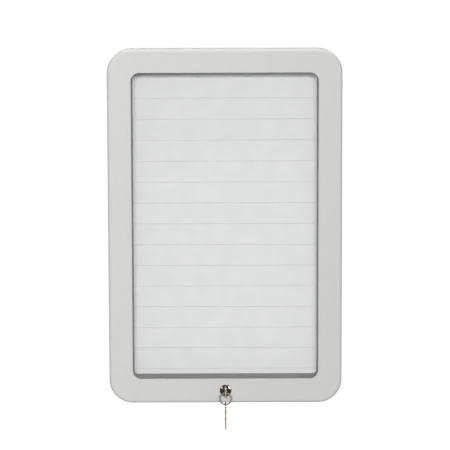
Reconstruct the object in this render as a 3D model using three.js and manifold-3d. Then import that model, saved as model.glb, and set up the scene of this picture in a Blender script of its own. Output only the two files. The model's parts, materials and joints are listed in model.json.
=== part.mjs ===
// A lockable notice board for a wall. A shallow case holds a stack of white strips in two side
// channels. A door frame with clear glazing closes it, hangs on a hinge along the top edge and
// is locked by a small cam lock in its bottom rail. A key stands in the lock, and a spare key
// hangs from it on a split ring.
// Millimetres. X is to the right, Y goes into the wall and Z is up. The origin is the middle of
// the case's back face, on the wall.

import * as THREE from 'three';
import { mergeVertices } from 'three/addons/utils/BufferGeometryUtils.js';
import Module from 'manifold-3d';

const wasm = await Module();
wasm.setup();

// Driving dimensions: whole board
const BOARD_WIDTH = 276;
const BOARD_HEIGHT = 420;
const BOARD_DEPTH = 40;
const CORNER_RADIUS = 28;
const FACE_WIDTH = 28;
const WINDOW_RADIUS = 10;
const SEAT_GAP = 0.3;
const CUT_OVERRUN = 6;

// Driving dimensions: case
const CASE_DEPTH = 11;
const CASE_WALL = 2;
const CASE_FLANGE = 9.4;
const CASE_LEDGE = 8;
const LEDGE_THICKNESS = 1.5;
const BACK_THICKNESS = 2;
const FIXING_HOLE_RADIUS = 2.5;
const FIXING_SIDE_INSET = 38;
const FIXING_END_INSET = 15.5;

// Driving dimensions: door
const DOOR_WALL = 2;
const DOOR_FLANGE = 9.4;
const FRONT_ROUND = 3;
const WINDOW_CHAMFER = 0.8;
const WEB_THICKNESS = 1.5;
const GLAZING_THICKNESS = 3;
const GLAZING_SEAL_THICKNESS = 0.7;
const GLAZING_SEAL_SETBACK = 0.6;
const SURROUND_WALL = 3;
const SURROUND_LIP = 3;
const SURROUND_REAR_GAP = 0.9;

// Driving dimensions: strips
const STRIP_FACE_FROM_WALL = 8;
const STRIP_PITCH = 25;
const STRIP_THICKNESS = 4;
const STRIP_JOINT = 0.3;
const STRIP_EDGE = 0.4;
const STRIP_END_COVER = 8;
const STACK_RISE = 1;
const STACK_END_COVER = 5;
const TONGUE_THICKNESS = 1.4;
const TONGUE_HEIGHT = 1.5;
const CHANNEL_WALL = 1.5;
const CHANNEL_LIP = 1;
const FOOTER_FOOT_INSET = 5;

// Driving dimensions: door seal
const SEAL_INSET = 2.5;
const SEAL_WIDTH = 3;

// Driving dimensions: hinge
const LEAF_THICKNESS = 1;
const LEAF_WIDTH = 6.9;
const KNUCKLE_RADIUS = 2;
const KNUCKLE_SINK = 0.2;
const KNUCKLE_COUNT = 9;
const HINGE_PIN_RADIUS = 0.9;
const HINGE_END_INSET = 10;
const HINGE_SLOT_HALF = 3.9;
const HINGE_SLOT_END_GAP = 1;
const HINGE_RIVET_COUNT = 4;
const HINGE_RIVET_DROP = 4.6;

// Driving dimensions: rivets
const RIVET_RADIUS = 1;
const RIVET_HEAD_RADIUS = 1.6;
const RIVET_HEAD_HEIGHT = 0.8;
const RIVET_SINK = 0.6;

// Driving dimensions: lock
const LOCK_RISE = 15;
const BEZEL_RADIUS = 7;
const BEZEL_HEIGHT = 1.8;
const BEZEL_EDGE = 0.5;
const HOUSING_RADIUS = 5;
const PLUG_RADIUS = 3.9;
const PLUG_HEAD_RADIUS = 4.6;
const PLUG_HEAD_HEIGHT = 1.3;
const PLUG_STAND = 1;
const NUT_FLATS = 13;
const NUT_THICKNESS = 3;
const CAM_THICKNESS = 2;
const CAM_HUB_RADIUS = 5;
const CAM_ARM_HALF = 4;
const CAM_TIP_GAP = 1;
const CAM_KEEPER_GAP = 0.4;
const CAM_REAR_GAP = 0.6;
const TENON_SIDE = 4.6;
const CAM_SCREW_RADIUS = 1.2;
const CAM_SCREW_LENGTH = 6;
const CAM_SCREW_HEAD_RADIUS = 2.6;
const CAM_SCREW_HEAD_HEIGHT = 1.2;
const WASHER_RADIUS = 3.6;
const WASHER_THICKNESS = 0.5;
const SCREW_SLOT_WIDTH = 0.7;
const SCREW_SLOT_DEPTH = 0.5;

// Driving dimensions: keeper
const KEEPER_THICKNESS = 1;
const KEEPER_LAP = 5.5;
const KEEPER_END = 5;
const NOTCH_SIDE_GAP = 2;

// Driving dimensions: keys and ring
const KEY_THICKNESS = 1.9;
const BOW_WIDTH = 14.5;
const BOW_LENGTH = 13;
const BOW_HOLE_RADIUS = 2.2;
const BOW_HOLE_EDGE = 1.4;
const BLADE_WIDTH = 6;
const BLADE_LENGTH = 20;
const BLADE_TIP = 2;
const BLADE_CUT_START = 3.5;
const BLADE_CUT_END = 4.5;
const BLADE_CUT_SHARES = [0.48, 0.87, 0.35, 0.7];
const KEY_SHOULDER_GAP = 0.5;
const KEYWAY_END_GAP = 1;
const RING_RADIUS = 6.9;
const RING_WIRE_RADIUS = 0.7;
const RING_HANG_GAP = 0.35;

// Counts of facets
const ARC_STEPS = 5;
const ROUND_STEPS = 4;
const SMALL_ROUND_SIDES = 16;
const ROUND_SIDES = 32;
const HEX_SIDES = 6;
const RING_STEPS = 48;
const WIRE_SIDES = 10;

// Places worked out from the driving dimensions
const WINDOW_WIDTH = BOARD_WIDTH - 2 * FACE_WIDTH;
const WINDOW_HEIGHT = BOARD_HEIGHT - 2 * FACE_WIDTH;
const SEAM = 2 * LEAF_THICKNESS + 2 * SEAT_GAP;
const CASE_FRONT = -CASE_DEPTH;
const DOOR_REAR = CASE_FRONT - SEAM;
const DOOR_FRONT = -BOARD_DEPTH;
const STRIP_FACE = -STRIP_FACE_FROM_WALL;
const GLAZING_FRONT = DOOR_FRONT + DOOR_WALL + GLAZING_SEAL_THICKNESS;
const GLAZING_REAR = GLAZING_FRONT + GLAZING_THICKNESS;
const HINGE_Y = CASE_FRONT - SEAM / 2;
const HINGE_Z = BOARD_HEIGHT / 2 - KNUCKLE_SINK - KNUCKLE_RADIUS;
const HINGE_LENGTH = BOARD_WIDTH - 2 * CORNER_RADIUS - 2 * HINGE_END_INSET;
const LOCK_Z = LOCK_RISE - BOARD_HEIGHT / 2;
const CAM_REACH = LOCK_RISE - CASE_WALL - CAM_TIP_GAP;
const CAM_FRONT = BOARD_DEPTH - CASE_DEPTH + CASE_WALL + KEEPER_THICKNESS + CAM_KEEPER_GAP;
const STRIP_COUNT = Math.floor(WINDOW_HEIGHT / STRIP_PITCH);
const STRIP_LENGTH = WINDOW_WIDTH + 2 * STRIP_END_COVER;
const STACK_TOP = (STRIP_COUNT * STRIP_PITCH) / 2 + STACK_RISE;
const STACK_BOTTOM = STACK_TOP - STRIP_COUNT * STRIP_PITCH;
const STACK_LIMIT = WINDOW_HEIGHT / 2 + STACK_END_COVER;

// Materials

function material(colour, roughness, metalness, opacity = 1) {
  const transparent = opacity < 1;
  return new THREE.MeshStandardMaterial({ color: colour, roughness, metalness, opacity, transparent });
}

const satinSilver = () => material(0xd2d3d0, 0.42, 0.55);
const whitePlastic = () => material(0xdedede, 0.55, 0);
const greySheet = () => material(0xb9bab8, 0.6, 0.1);
const greyRubber = () => material(0x6f6f6c, 0.75, 0);
const blackFoam = () => material(0x2b2b2b, 0.9, 0);
const clearSheet = () => material(0xf4f7f7, 0.05, 0, 0.25);
const zincSteel = () => material(0xa9aaa8, 0.4, 0.9);
const chrome = () => material(0xb8b6b4, 0.12, 1);
const keyNickel = () => material(0xa8a091, 0.3, 0.9);

// Solids

function toSolid(geometry) {
  const bare = geometry.clone();
  bare.deleteAttribute('normal');
  bare.deleteAttribute('uv');
  const merged = mergeVertices(bare);
  const corners = merged.index.array;
  const faces = [];
  for (let i = 0; i < corners.length; i += 3) {
    const [a, b, c] = corners.subarray(i, i + 3);
    if (a !== b && b !== c && c !== a) faces.push(a, b, c);
  }
  const vertProperties = merged.attributes.position.array;
  const triVerts = Uint32Array.from(faces);
  return new wasm.Manifold(new wasm.Mesh({ numProp: 3, vertProperties, triVerts }));
}

function toGeometry(solid) {
  const mesh = solid.getMesh();
  const geometry = new THREE.BufferGeometry();
  geometry.setAttribute('position', new THREE.BufferAttribute(mesh.vertProperties, 3));
  geometry.setIndex(new THREE.BufferAttribute(mesh.triVerts, 1));
  geometry.computeVertexNormals();
  return geometry;
}

function piece(name, solid, finish) {
  const mesh = new THREE.Mesh(toGeometry(solid), finish);
  mesh.name = name;
  return mesh;
}

function block(x0, x1, y0, y1, z0, z1) {
  const geometry = new THREE.BoxGeometry(x1 - x0, y1 - y0, z1 - z0);
  return toSolid(geometry.translate((x0 + x1) / 2, (y0 + y1) / 2, (z0 + z1) / 2));
}

// A rod along X or along Y
function rodX(radius, x0, x1, y, z, sides = SMALL_ROUND_SIDES) {
  const geometry = new THREE.CylinderGeometry(radius, radius, x1 - x0, sides);
  return toSolid(geometry.rotateZ(Math.PI / 2).translate((x0 + x1) / 2, y, z));
}

function rodY(radius, y0, y1, x, z, sides = SMALL_ROUND_SIDES) {
  const geometry = new THREE.CylinderGeometry(radius, radius, y1 - y0, sides);
  return toSolid(geometry.translate(x, (y0 + y1) / 2, z));
}

// A body of revolution about Y from [radius, y] points
function turned(points, sides) {
  return toSolid(new THREE.LatheGeometry(points.map(([r, y]) => new THREE.Vector2(r, y)), sides));
}

// An upright outline pushed from y0 back to y1
function pushed(outline, y0, y1) {
  const settings = { depth: y1 - y0, bevelEnabled: false, curveSegments: ARC_STEPS };
  const geometry = new THREE.ExtrudeGeometry(outline, settings);
  return toSolid(geometry.rotateX(Math.PI / 2).translate(0, y1, 0));
}

function roundedOutline(width, height, radius) {
  const x = width / 2;
  const z = height / 2;
  const outline = new THREE.Shape();
  outline.moveTo(radius - x, -z);
  outline.lineTo(x - radius, -z);
  outline.absarc(x - radius, radius - z, radius, -Math.PI / 2, 0);
  outline.lineTo(x, z - radius);
  outline.absarc(x - radius, z - radius, radius, 0, Math.PI / 2);
  outline.lineTo(radius - x, z);
  outline.absarc(radius - x, z - radius, radius, Math.PI / 2, Math.PI);
  outline.lineTo(-x, radius - z);
  outline.absarc(radius - x, radius - z, radius, Math.PI, Math.PI * 1.5);
  return outline;
}

// A rounded slab that lies a distance inside the board's outer outline
function boardSlab(inset, y0, y1) {
  const outline = roundedOutline(BOARD_WIDTH - 2 * inset, BOARD_HEIGHT - 2 * inset, CORNER_RADIUS - inset);
  return pushed(outline, y0, y1);
}

// A rounded slab that lies a distance outside the window's outline
function windowSlab(outset, y0, y1) {
  const outline = roundedOutline(WINDOW_WIDTH + 2 * outset, WINDOW_HEIGHT + 2 * outset, WINDOW_RADIUS + outset);
  return pushed(outline, y0, y1);
}

// Rivets

// A rivet with a flush sunk head at its origin and a round head past the grip, along +Y
function rivet(name, grip, x, y, z, turnedRound) {
  const solid = turned([
    [0, 0],
    [RIVET_HEAD_RADIUS, 0],
    [RIVET_RADIUS, RIVET_SINK],
    [RIVET_RADIUS, grip],
    [RIVET_HEAD_RADIUS, grip],
    [RIVET_HEAD_RADIUS, grip + RIVET_HEAD_HEIGHT / 2],
    [RIVET_RADIUS, grip + RIVET_HEAD_HEIGHT],
    [0, grip + RIVET_HEAD_HEIGHT],
  ], SMALL_ROUND_SIDES);
  const mesh = piece(name, solid, zincSteel());
  mesh.position.set(x, y, z);
  if (turnedRound) mesh.rotation.x = Math.PI;
  return mesh;
}

// The hole that such a rivet needs, from its flush face at y along the direction given
function rivetHole(grip, x, y, z, direction) {
  const hole = turned([
    [0, -SEAT_GAP],
    [RIVET_HEAD_RADIUS + SEAT_GAP, -SEAT_GAP],
    [RIVET_HEAD_RADIUS + SEAT_GAP, 0],
    [RIVET_RADIUS + SEAT_GAP, RIVET_SINK],
    [RIVET_RADIUS + SEAT_GAP, grip + SEAT_GAP],
    [0, grip + SEAT_GAP],
  ], SMALL_ROUND_SIDES);
  const turn = direction < 0 ? 180 : 0;
  return hole.rotate([turn, 0, 0]).translate([x, y, z]);
}

function hingeRivetPlaces() {
  const spread = HINGE_LENGTH / HINGE_RIVET_COUNT;
  return Array.from({ length: HINGE_RIVET_COUNT }, (_, i) => (i + 0.5) * spread - HINGE_LENGTH / 2);
}

function panelRivetPlaces() {
  const x = (BOARD_WIDTH - CASE_LEDGE - CASE_WALL) / 2;
  const z = BOARD_HEIGHT / 2 - CORNER_RADIUS;
  return [-1, 1].flatMap((side) => [-z, 0, z].map((height) => [side * x, height]));
}

// Case

// A shallow groove across the whole top edge, which runs out on the round corners, with room
// for the knuckles below it
function hingeSlot() {
  const side = BOARD_WIDTH / 2 + CUT_OVERRUN;
  const top = BOARD_HEIGHT / 2 + CUT_OVERRUN;
  const groove = block(-side, side, HINGE_Y - HINGE_SLOT_HALF, HINGE_Y + HINGE_SLOT_HALF, HINGE_Z, top);
  const half = HINGE_LENGTH / 2 + HINGE_SLOT_END_GAP;
  return groove.add(rodX(KNUCKLE_RADIUS + SEAT_GAP, -half, half, HINGE_Y, HINGE_Z));
}

// The cut in the case's bottom flange through which the cam's arm swings behind the keeper plate
function camNotch() {
  const left = -CAM_HUB_RADIUS - NOTCH_SIDE_GAP;
  const right = CAM_REACH + NOTCH_SIDE_GAP;
  const bottom = CASE_WALL - BOARD_HEIGHT / 2;
  const top = bottom + CASE_FLANGE + CUT_OVERRUN;
  return block(left, right, CASE_FRONT - CUT_OVERRUN, CASE_FRONT + CASE_WALL + CUT_OVERRUN / 2, bottom, top);
}

function keeperTop() {
  return LOCK_Z - CAM_REACH + KEEPER_LAP;
}

function keeperRivetPlaces() {
  const left = -CAM_HUB_RADIUS - NOTCH_SIDE_GAP - KEEPER_END;
  const right = CAM_REACH + NOTCH_SIDE_GAP + KEEPER_END;
  const height = (keeperTop() - BOARD_HEIGHT / 2 + CASE_WALL + SEAT_GAP) / 2;
  return [[left, height], [right, height]];
}

function caseFrame() {
  let solid = boardSlab(0, CASE_FRONT, 0);
  solid = solid.subtract(boardSlab(CASE_FLANGE, CASE_FRONT - CUT_OVERRUN, CUT_OVERRUN));
  solid = solid.subtract(boardSlab(CASE_WALL, CASE_FRONT + CASE_WALL, -BACK_THICKNESS - LEDGE_THICKNESS));
  solid = solid.subtract(boardSlab(CASE_WALL, -BACK_THICKNESS, CUT_OVERRUN));
  solid = solid.subtract(boardSlab(CASE_LEDGE, CASE_FRONT + CASE_WALL, CUT_OVERRUN));
  solid = solid.subtract(hingeSlot());
  solid = solid.subtract(camNotch());
  const leafGrip = LEAF_THICKNESS + CASE_WALL;
  for (const x of hingeRivetPlaces()) {
    solid = solid.subtract(rivetHole(leafGrip, x, CASE_FRONT - LEAF_THICKNESS, HINGE_Z - HINGE_RIVET_DROP, 1));
  }
  for (const [x, z] of panelRivetPlaces()) {
    solid = solid.subtract(rivetHole(BACK_THICKNESS + LEDGE_THICKNESS, x, 0, z, -1));
  }
  for (const [x, z] of keeperRivetPlaces()) {
    solid = solid.subtract(rivetHole(CASE_WALL + KEEPER_THICKNESS, x, CASE_FRONT, z, 1));
  }
  return piece('case_frame', solid, satinSilver());
}

function backPanel() {
  let solid = boardSlab(CASE_WALL + SEAT_GAP, -BACK_THICKNESS, 0);
  const x = BOARD_WIDTH / 2 - FIXING_SIDE_INSET;
  const z = BOARD_HEIGHT / 2 - FIXING_END_INSET;
  for (const [side, end] of [[-1, -1], [-1, 1], [1, -1], [1, 1]]) {
    const hole = rodY(FIXING_HOLE_RADIUS, -BACK_THICKNESS - CUT_OVERRUN, CUT_OVERRUN, side * x, end * z);
    solid = solid.subtract(hole);
  }
  for (const [side, height] of panelRivetPlaces()) {
    solid = solid.subtract(rivetHole(BACK_THICKNESS + LEDGE_THICKNESS, side, 0, height, -1));
  }
  return piece('back_panel', solid, greySheet());
}

function panelRivets() {
  const grip = BACK_THICKNESS + LEDGE_THICKNESS;
  return panelRivetPlaces().map(([x, z], i) => rivet(`panel_rivet_${i + 1}`, grip, x, 0, z, true));
}

function keeperPlate() {
  const [[left, height], [right]] = keeperRivetPlaces();
  const bottom = CASE_WALL + SEAT_GAP - BOARD_HEIGHT / 2;
  const front = CASE_FRONT + CASE_WALL;
  const end = RIVET_HEAD_RADIUS + RIVET_HEAD_HEIGHT;
  let solid = block(left - end, right + end, front, front + KEEPER_THICKNESS, bottom, keeperTop());
  for (const x of [left, right]) {
    solid = solid.subtract(rivetHole(CASE_WALL + KEEPER_THICKNESS, x, CASE_FRONT, height, 1));
  }
  return piece('keeper_plate', solid, zincSteel());
}

function keeperRivets() {
  const [[left, height], [right]] = keeperRivetPlaces();
  const grip = CASE_WALL + KEEPER_THICKNESS;
  return [
    rivet('keeper_rivet_left', grip, left, CASE_FRONT, height),
    rivet('keeper_rivet_right', grip, right, CASE_FRONT, height),
  ];
}

// A foam strip in the seam on both sides and along the bottom, open where the hinge lies
function doorSeal() {
  const front = DOOR_REAR + SEAT_GAP;
  const outer = boardSlab(SEAL_INSET, front, CASE_FRONT);
  const inner = boardSlab(SEAL_INSET + SEAL_WIDTH, front - CUT_OVERRUN, CASE_FRONT + CUT_OVERRUN);
  const half = HINGE_LENGTH / 2 + 2 * HINGE_SLOT_END_GAP;
  const hingeRoom = block(-half, half, front - CUT_OVERRUN, CUT_OVERRUN, 0, BOARD_HEIGHT);
  return piece('door_seal', outer.subtract(inner).subtract(hingeRoom), blackFoam());
}

// Strips

// The section of a strip in depth and height, with a tongue on top and a groove below
function stripSection(height, hasTongue, hasGroove) {
  const front = -STRIP_THICKNESS;
  const top = height - STRIP_JOINT;
  const middle = front / 2;
  const tongue = TONGUE_THICKNESS / 2;
  const groove = tongue + SEAT_GAP;
  const grooveTop = TONGUE_HEIGHT;
  const section = new THREE.Shape();
  section.moveTo(0, 0);
  section.lineTo(0, top);
  if (hasTongue) {
    section.lineTo(middle + tongue, top);
    section.lineTo(middle + tongue, top + TONGUE_HEIGHT);
    section.lineTo(middle - tongue, top + TONGUE_HEIGHT);
    section.lineTo(middle - tongue, top);
  }
  section.lineTo(front + STRIP_EDGE, top);
  section.lineTo(front, top - STRIP_EDGE);
  section.lineTo(front, STRIP_EDGE);
  section.lineTo(front + STRIP_EDGE, 0);
  if (hasGroove) {
    section.lineTo(middle - groove, 0);
    section.lineTo(middle - groove, grooveTop);
    section.lineTo(middle + groove, grooveTop);
    section.lineTo(middle + groove, 0);
  }
  return section;
}

function stripSolid(height, hasTongue, hasGroove) {
  const settings = { depth: STRIP_LENGTH, bevelEnabled: false };
  const geometry = new THREE.ExtrudeGeometry(stripSection(height, hasTongue, hasGroove), settings);
  geometry.rotateX(Math.PI / 2).rotateZ(Math.PI / 2);
  return toSolid(geometry.translate(-STRIP_LENGTH / 2, 0, 0));
}

function nameStrips() {
  return Array.from({ length: STRIP_COUNT }, (_, i) => {
    const name = `name_strip_${String(i + 1).padStart(2, '0')}`;
    const strip = piece(name, stripSolid(STRIP_PITCH, true, true), whitePlastic());
    strip.position.set(0, STRIP_FACE + STRIP_THICKNESS, STACK_TOP - (i + 1) * STRIP_PITCH);
    return strip;
  });
}

function headerStrip() {
  const strip = piece('header_strip', stripSolid(STACK_LIMIT - STACK_TOP, false, true), whitePlastic());
  strip.position.set(0, STRIP_FACE + STRIP_THICKNESS, STACK_TOP);
  return strip;
}

function footerLedge() {
  const height = STACK_LIMIT + STACK_BOTTOM;
  const halfFoot = STRIP_LENGTH / 2 - FOOTER_FOOT_INSET;
  const rear = STRIP_FACE_FROM_WALL - STRIP_THICKNESS - BACK_THICKNESS;
  const foot = block(-halfFoot, halfFoot, -STRIP_THICKNESS / 2, rear, 0, height - STRIP_JOINT);
  const ledge = piece('footer_ledge', stripSolid(height, true, false).add(foot), whitePlastic());
  ledge.position.set(0, STRIP_FACE + STRIP_THICKNESS, -STACK_LIMIT);
  return ledge;
}

function stripChannel(name, side) {
  const web = STRIP_LENGTH / 2 + SEAT_GAP;
  const outside = web + CHANNEL_WALL;
  const inside = WINDOW_WIDTH / 2 + SURROUND_WALL + 2 * SEAT_GAP;
  const front = STRIP_FACE - SEAT_GAP - CHANNEL_LIP;
  const bar = block(inside, outside, front, -BACK_THICKNESS, -STACK_LIMIT, STACK_LIMIT);
  const slotRear = STRIP_FACE + STRIP_THICKNESS + SEAT_GAP;
  const slotTop = STACK_LIMIT + CUT_OVERRUN;
  const slot = block(0, web, STRIP_FACE - SEAT_GAP, slotRear, -slotTop, slotTop);
  const channel = bar.subtract(slot);
  return piece(name, side < 0 ? channel.rotate([0, 0, 180]).rotate([180, 0, 0]) : channel, greySheet());
}

// Hinge

function knuckleSpan(i) {
  const pitch = HINGE_LENGTH / KNUCKLE_COUNT;
  return [i * pitch - HINGE_LENGTH / 2, (i + 1) * pitch - HINGE_LENGTH / 2];
}

// A leaf owns every second knuckle and is cut clear of the others
function hingeLeaf(name, firstKnuckle, y0, y1, flushFace, grip, direction) {
  const half = HINGE_LENGTH / 2;
  let solid = block(-half, half, y0, y1, HINGE_Z - LEAF_WIDTH, HINGE_Z);
  for (let i = 0; i < KNUCKLE_COUNT; i += 1) {
    const [start, end] = knuckleSpan(i);
    const owned = i % 2 === firstKnuckle;
    const gap = owned ? -SEAT_GAP / 2 : SEAT_GAP / 2;
    const radius = owned ? KNUCKLE_RADIUS : KNUCKLE_RADIUS + SEAT_GAP;
    const rod = rodX(radius, start - gap, end + gap, HINGE_Y, HINGE_Z);
    solid = owned ? solid.add(rod) : solid.subtract(rod);
  }
  const bore = HINGE_PIN_RADIUS + SEAT_GAP;
  solid = solid.subtract(rodX(bore, -half - CUT_OVERRUN, half + CUT_OVERRUN, HINGE_Y, HINGE_Z));
  for (const x of hingeRivetPlaces()) {
    solid = solid.subtract(rivetHole(grip, x, flushFace, HINGE_Z - HINGE_RIVET_DROP, direction));
  }
  return piece(name, solid, zincSteel());
}

function caseLeaf() {
  const flush = CASE_FRONT - LEAF_THICKNESS;
  return hingeLeaf('hinge_leaf_case', 0, flush, CASE_FRONT, flush, LEAF_THICKNESS + CASE_WALL, 1);
}

function doorLeaf() {
  const flush = DOOR_REAR + LEAF_THICKNESS;
  return hingeLeaf('hinge_leaf_door', 1, DOOR_REAR, flush, flush, LEAF_THICKNESS + DOOR_WALL, -1);
}

function hingePin() {
  const half = HINGE_LENGTH / 2;
  return piece('hinge_pin', rodX(HINGE_PIN_RADIUS, -half, half, HINGE_Y, HINGE_Z), zincSteel());
}

function hingeRivets(prefix, flushFace, grip, turnedRound) {
  const z = HINGE_Z - HINGE_RIVET_DROP;
  return hingeRivetPlaces().map((x, i) => rivet(`${prefix}_${i + 1}`, grip, x, flushFace, z, turnedRound));
}

// Door

// The outer body of the door frame, with its front edge rounded over
function doorBody() {
  const inner = 2 * FRONT_ROUND;
  const outline = roundedOutline(BOARD_WIDTH - inner, BOARD_HEIGHT - inner, CORNER_RADIUS - FRONT_ROUND);
  const geometry = new THREE.ExtrudeGeometry(outline, {
    depth: DOOR_REAR - DOOR_FRONT,
    bevelThickness: FRONT_ROUND,
    bevelSize: FRONT_ROUND,
    bevelSegments: ROUND_STEPS,
    curveSegments: ARC_STEPS,
  });
  geometry.rotateX(Math.PI / 2).translate(0, DOOR_REAR + FRONT_ROUND, 0);
  return toSolid(geometry).subtract(boardSlab(-CUT_OVERRUN, DOOR_REAR, DOOR_REAR + 2 * CUT_OVERRUN));
}

// The cutter for the small slope round the window's front edge
function windowSlope() {
  const outline = roundedOutline(WINDOW_WIDTH, WINDOW_HEIGHT, WINDOW_RADIUS);
  const geometry = new THREE.ExtrudeGeometry(outline, {
    depth: CUT_OVERRUN,
    bevelThickness: WINDOW_CHAMFER,
    bevelSize: WINDOW_CHAMFER,
    bevelSegments: 1,
    curveSegments: ARC_STEPS,
  });
  return toSolid(geometry.rotateX(Math.PI / 2).translate(0, DOOR_FRONT, 0));
}

function doorFrame() {
  const inside = DOOR_FRONT + DOOR_WALL;
  const flange = DOOR_REAR - DOOR_WALL;
  const webInner = SURROUND_WALL + SEAT_GAP;
  const webOuter = webInner + WEB_THICKNESS;
  const hollow = boardSlab(DOOR_WALL, inside, flange);
  const web = windowSlab(webOuter, inside - CUT_OVERRUN, flange + CUT_OVERRUN);
  let solid = doorBody();
  solid = solid.subtract(windowSlab(0, DOOR_FRONT - CUT_OVERRUN, DOOR_REAR + CUT_OVERRUN));
  solid = solid.subtract(windowSlope());
  solid = solid.subtract(windowSlab(webInner, inside, DOOR_REAR + CUT_OVERRUN));
  solid = solid.subtract(hollow.subtract(web));
  solid = solid.subtract(boardSlab(DOOR_FLANGE, flange, DOOR_REAR + CUT_OVERRUN));
  solid = solid.subtract(hingeSlot());
  const lockHole = HOUSING_RADIUS + SEAT_GAP;
  solid = solid.subtract(rodY(lockHole, DOOR_FRONT - CUT_OVERRUN, 0, 0, LOCK_Z, ROUND_SIDES));
  const grip = LEAF_THICKNESS + DOOR_WALL;
  for (const x of hingeRivetPlaces()) {
    const place = [x, DOOR_REAR + LEAF_THICKNESS, HINGE_Z - HINGE_RIVET_DROP];
    solid = solid.subtract(rivetHole(grip, ...place, -1));
  }
  return piece('door_frame', solid, satinSilver());
}

function glazing() {
  return piece('glazing', windowSlab(SURROUND_WALL, GLAZING_FRONT, GLAZING_REAR), clearSheet());
}

function glazingSeal() {
  const front = DOOR_FRONT + DOOR_WALL;
  const outer = windowSlab(SURROUND_WALL, front, GLAZING_FRONT);
  const inner = windowSlab(GLAZING_SEAL_SETBACK, front - CUT_OVERRUN, GLAZING_FRONT + CUT_OVERRUN);
  return piece('glazing_seal', outer.subtract(inner), greyRubber());
}

// The grey ring from the glazing back to just in front of the strips, hooked behind the web
function windowSurround() {
  const rear = STRIP_FACE - SURROUND_REAR_GAP;
  const lipFront = DOOR_REAR - DOOR_WALL + SEAT_GAP;
  const body = windowSlab(SURROUND_WALL, GLAZING_REAR, rear);
  const lip = windowSlab(SURROUND_WALL + SURROUND_LIP, lipFront, DOOR_REAR);
  const inner = windowSlab(0, GLAZING_REAR - CUT_OVERRUN, rear + CUT_OVERRUN);
  return piece('window_surround', body.add(lip).subtract(inner), greyRubber());
}

// Lock, about its own axis, with its origin on the door's front face

function lockHousing() {
  const bore = PLUG_RADIUS + SEAT_GAP;
  const headBore = PLUG_HEAD_RADIUS + SEAT_GAP;
  const solid = turned([
    [headBore, -BEZEL_HEIGHT],
    [(headBore + BEZEL_RADIUS) / 2, BEZEL_EDGE - BEZEL_HEIGHT],
    [BEZEL_RADIUS, -BEZEL_EDGE],
    [BEZEL_RADIUS, 0],
    [HOUSING_RADIUS, 0],
    [HOUSING_RADIUS, CAM_FRONT - CAM_REAR_GAP],
    [bore, CAM_FRONT - CAM_REAR_GAP],
    [bore, PLUG_HEAD_HEIGHT - PLUG_STAND + SEAT_GAP],
    [headBore, PLUG_HEAD_HEIGHT - PLUG_STAND + SEAT_GAP],
    [headBore, -BEZEL_HEIGHT],
  ], ROUND_SIDES);
  return piece('lock_housing', solid, chrome());
}

function lockNut() {
  const corner = NUT_FLATS / 2 / Math.cos(Math.PI / HEX_SIDES);
  const y0 = DOOR_WALL;
  const hexagon = new THREE.CylinderGeometry(corner, corner, NUT_THICKNESS, HEX_SIDES);
  const nut = toSolid(hexagon.rotateY(Math.PI / 2).translate(0, y0 + NUT_THICKNESS / 2, 0));
  const bore = rodY(HOUSING_RADIUS + SEAT_GAP, -CUT_OVERRUN, 2 * CUT_OVERRUN, 0, 0, ROUND_SIDES);
  return piece('lock_nut', nut.subtract(bore), zincSteel());
}

function lockPlug() {
  const front = -PLUG_STAND;
  const shoulder = CAM_FRONT - SEAT_GAP;
  const tenonEnd = CAM_FRONT + CAM_THICKNESS;
  const half = TENON_SIDE / 2;
  const core = turned([
    [0, front],
    [PLUG_HEAD_RADIUS, front],
    [PLUG_HEAD_RADIUS, front + PLUG_HEAD_HEIGHT],
    [PLUG_RADIUS, front + PLUG_HEAD_HEIGHT],
    [PLUG_RADIUS, shoulder],
    [0, shoulder],
  ], ROUND_SIDES);
  const tenon = block(-half, half, shoulder - CAM_THICKNESS, tenonEnd, -half, half);
  const keywayX = KEY_THICKNESS / 2 + SEAT_GAP;
  const keywayZ = BLADE_WIDTH / 2 + SEAT_GAP;
  const keywayEnd = front + BLADE_LENGTH + KEYWAY_END_GAP;
  const keyway = block(-keywayX, keywayX, front - CUT_OVERRUN, keywayEnd, -keywayZ, keywayZ);
  const screwStart = tenonEnd - CAM_SCREW_LENGTH;
  const screwHole = rodY(CAM_SCREW_RADIUS + SEAT_GAP, screwStart, tenonEnd + CUT_OVERRUN, 0, 0);
  return piece('lock_plug', core.add(tenon).subtract(keyway).subtract(screwHole), chrome());
}

function cam() {
  const arm = CAM_REACH - CAM_ARM_HALF;
  const rear = CAM_FRONT + CAM_THICKNESS;
  const hub = rodY(CAM_HUB_RADIUS, CAM_FRONT, rear, 0, 0, ROUND_SIDES);
  const bar = block(0, arm, CAM_FRONT, rear, -CAM_ARM_HALF, CAM_ARM_HALF);
  const tip = rodY(CAM_ARM_HALF, CAM_FRONT, rear, arm, 0, ROUND_SIDES);
  const half = TENON_SIDE / 2 + SEAT_GAP;
  const hole = block(-half, half, CAM_FRONT - CUT_OVERRUN, rear + CUT_OVERRUN, -half, half);
  return piece('cam', hub.add(bar).add(tip).subtract(hole), zincSteel());
}

function camWasher() {
  const front = CAM_FRONT + CAM_THICKNESS;
  const bore = CAM_SCREW_RADIUS + SEAT_GAP;
  const solid = turned([
    [bore, front],
    [WASHER_RADIUS, front],
    [WASHER_RADIUS, front + WASHER_THICKNESS],
    [bore, front + WASHER_THICKNESS],
    [bore, front],
  ], SMALL_ROUND_SIDES);
  return piece('cam_washer', solid, zincSteel());
}

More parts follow.
